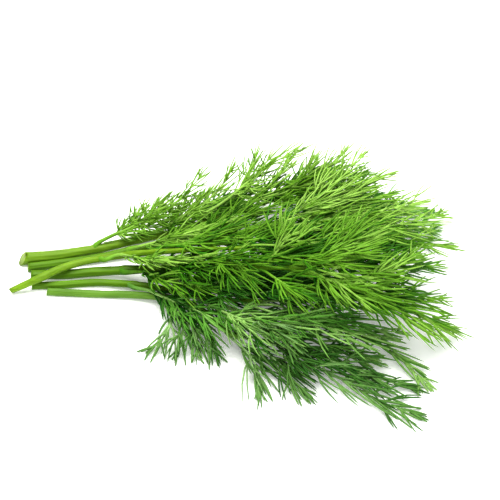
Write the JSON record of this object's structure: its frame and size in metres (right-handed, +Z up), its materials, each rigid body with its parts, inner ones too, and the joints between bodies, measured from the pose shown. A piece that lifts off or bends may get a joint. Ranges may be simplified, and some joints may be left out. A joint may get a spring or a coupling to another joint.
{
  "type": "dill bunch",
  "caption": "Loose bunch of fresh cut dill lying flat: bare stems at one end spread into a fan of fine, feathery thread-like leaves.",
  "frame": {"origin": "middle of the bunch's footprint, on the surface that it lies on", "axes": "+X along the bunch, from the cut ends to the leaf tips; +Y across it; +Z up"},
  "size_m": [0.25, 0.1902, 0.0626],
  "materials": {
    "stem_light": "smooth, slightly glossy plant skin with fine lengthwise ribs, yellow green, paler at the cut",
    "stem_green": "smooth, slightly glossy plant skin with fine lengthwise ribs, mid green",
    "stem_front": "smooth plant skin with fine lengthwise ribs, pale bluish green",
    "leaf_bright": "satin leaf threads, bright yellow green",
    "leaf_mid": "satin leaf threads, fresh green",
    "leaf_front": "satin leaf threads, cool green with pale stalks",
    "leaf_deep": "satin leaf threads, deep green"
  },
  "bodies": {
    "root": {"leaf_back_1": "leaf_deep", "leaf_back_2": "leaf_deep", "leaf_back_3": "leaf_deep", "leaf_back_4": "leaf_deep", "leaf_back_5": "leaf_deep", "leaf_crossing_1": "leaf_mid", "leaf_crossing_2": "leaf_mid", "leaf_crossing_3": "leaf_mid", "leaf_crossing_4": "leaf_mid", "leaf_crossing_5": "leaf_mid", "leaf_crossing_6": "leaf_mid", "leaf_crossing_7": "leaf_mid", "leaf_front_1": "leaf_front", "leaf_front_2": "leaf_front", "leaf_front_3": "leaf_front", "leaf_front_4": "leaf_front", "leaf_front_5": "leaf_front", "leaf_front_6": "leaf_front", "leaf_front_7": "leaf_front", "leaf_front_8": "leaf_front", "leaf_front_9": "leaf_front", "leaf_lower_1": "leaf_deep", "leaf_lower_10": "leaf_deep", "leaf_lower_2": "leaf_deep", "leaf_lower_3": "leaf_deep", "leaf_lower_4": "leaf_deep", "leaf_lower_5": "leaf_deep", "leaf_lower_6": "leaf_deep", "leaf_lower_7": "leaf_deep", "leaf_lower_8": "leaf_deep", "leaf_lower_9": "leaf_deep", "leaf_middle_1": "leaf_mid", "leaf_middle_2": "leaf_mid", "leaf_middle_3": "leaf_mid", "leaf_middle_4": "leaf_mid", "leaf_middle_5": "leaf_mid", "leaf_middle_6": "leaf_mid", "leaf_middle_7": "leaf_mid", "leaf_middle_8": "leaf_mid", "leaf_middle_9": "leaf_mid", "leaf_second_1": "leaf_bright", "leaf_second_2": "leaf_bright", "leaf_second_3": "leaf_bright", "leaf_second_4": "leaf_bright", "leaf_second_5": "leaf_bright", "leaf_second_6": "leaf_bright", "leaf_thick_1": "leaf_bright", "leaf_thick_2": "leaf_bright", "leaf_thick_3": "leaf_bright", "leaf_thick_4": "leaf_bright", "leaf_thick_5": "leaf_bright", "leaf_thick_6": "leaf_bright", "leaf_thick_7": "leaf_bright", "stem_back": "stem_green", "stem_crossing": "stem_light", "stem_front": "stem_front", "stem_lower": "stem_green", "stem_middle": "stem_green", "stem_second": "stem_green", "stem_thick": "stem_light"}
  },
  "joints": []
}
